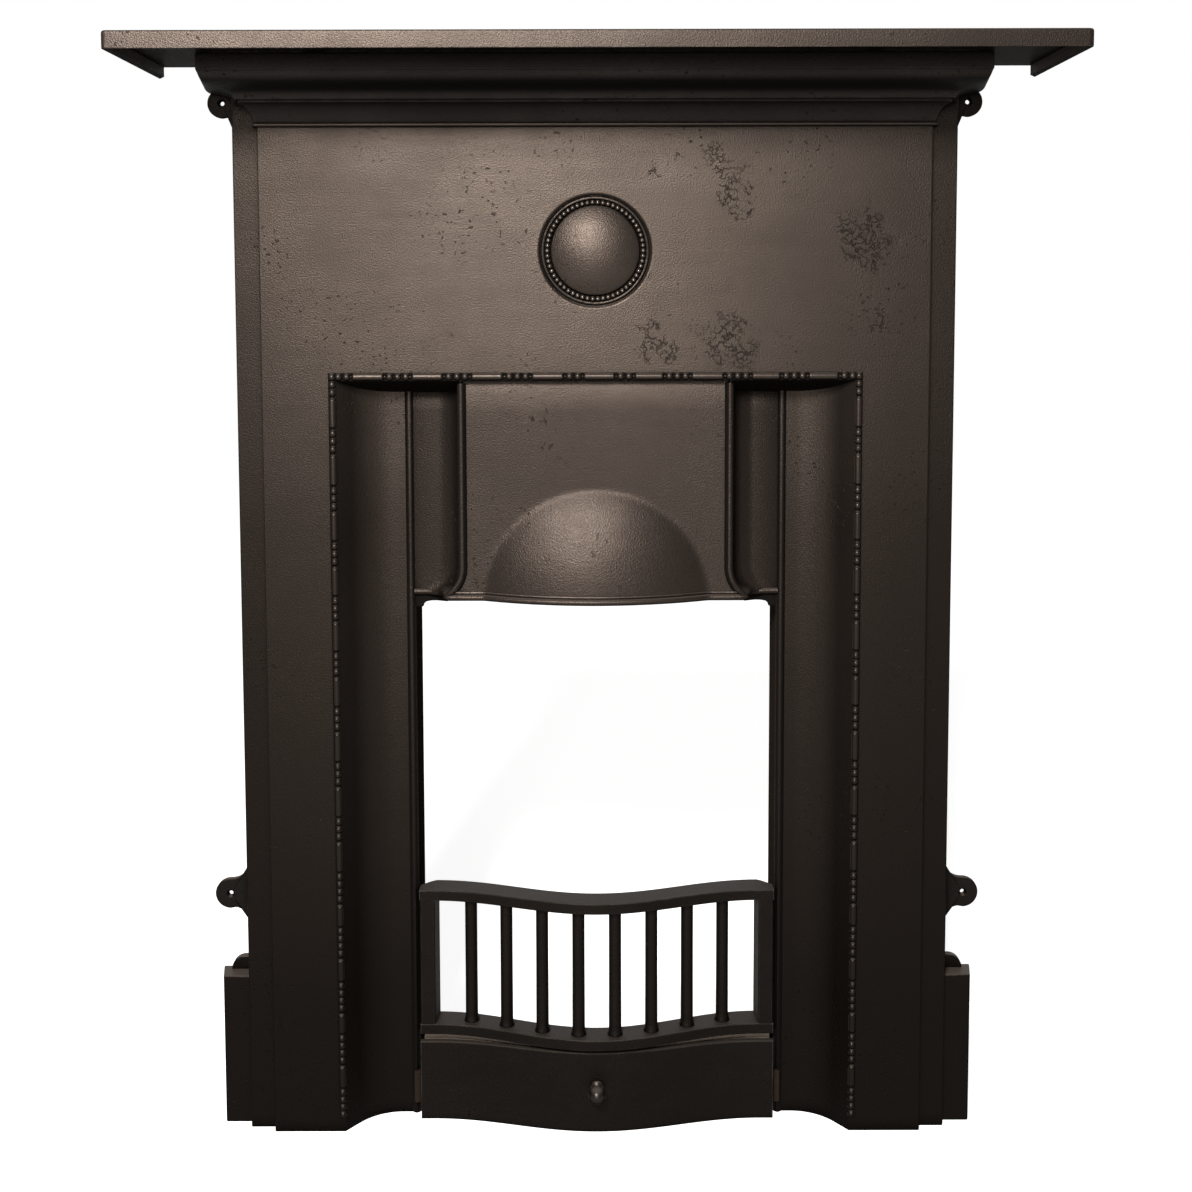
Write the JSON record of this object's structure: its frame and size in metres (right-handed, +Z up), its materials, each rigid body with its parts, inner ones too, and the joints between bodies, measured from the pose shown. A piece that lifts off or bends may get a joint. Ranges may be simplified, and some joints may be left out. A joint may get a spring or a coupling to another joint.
{
  "type": "cast iron fireplace",
  "caption": "Cast iron bedroom fireplace: stepped surround with cornice and shelf, coved jambs, domed hood, bowed fire front and loose ash pan cover.",
  "frame": {"origin": "middle of the footprint, on the floor", "axes": "the front faces -Y, +X is to the right seen from the front, +Z is up"},
  "size_m": [0.776, 0.221, 0.965],
  "materials": {
    "front_iron": "polished warm brown-black cast iron with fine sand grain",
    "shelf_iron": "polished brown cast iron, worn lighter on the lip",
    "hood_iron": "polished warm brown-black cast iron, sheen on the half-dome",
    "fire_iron": "near-black cast iron with edges worn lighter",
    "back_iron": "unpolished dark cast iron",
    "fastener_steel": "dull dark steel"
  },
  "bodies": {
    "fireplace": {"surround": "front_iron", "mantel_shelf": "shelf_iron", "shelf_bolt_left": "fastener_steel", "shelf_bolt_right": "fastener_steel", "hood": "hood_iron", "hood_lower_bolt_left": "fastener_steel", "hood_lower_bolt_right": "fastener_steel", "hood_lower_nut_left": "fastener_steel", "hood_lower_nut_right": "fastener_steel", "hood_upper_bolt_left": "fastener_steel", "hood_upper_bolt_right": "fastener_steel", "hood_upper_nut_left": "fastener_steel", "hood_upper_nut_right": "fastener_steel", "throat_plate": "back_iron", "throat_bolt_left": "fastener_steel", "throat_bolt_right": "fastener_steel", "throat_nut_left": "fastener_steel", "throat_nut_right": "fastener_steel", "damper_pin": "fastener_steel"},
    "damper": {"damper_flap": "back_iron"},
    "fire_front": {"fire_front": "fire_iron"},
    "ashpan_cover": {"ashpan_cover": "fire_iron", "knob": "fire_iron", "knob_nut": "fastener_steel"}
  },
  "joints": [
    {"name": "damper_hinge", "type": "hinge", "parent": "fireplace", "child": "damper", "pos_m": [0, 0.1005, 0.613], "axis": [-1, 0, 0], "range_deg": [0, 70]},
    {"name": "fire_front_lift", "type": "slide", "parent": "fireplace", "child": "fire_front", "axis": [0, 0, 1], "range_m": [0, 0.03]},
    {"name": "ashpan_cover_slide", "type": "slide", "parent": "fireplace", "child": "ashpan_cover", "axis": [0, -1, 0], "range_m": [0, 0.15]}
  ]
}
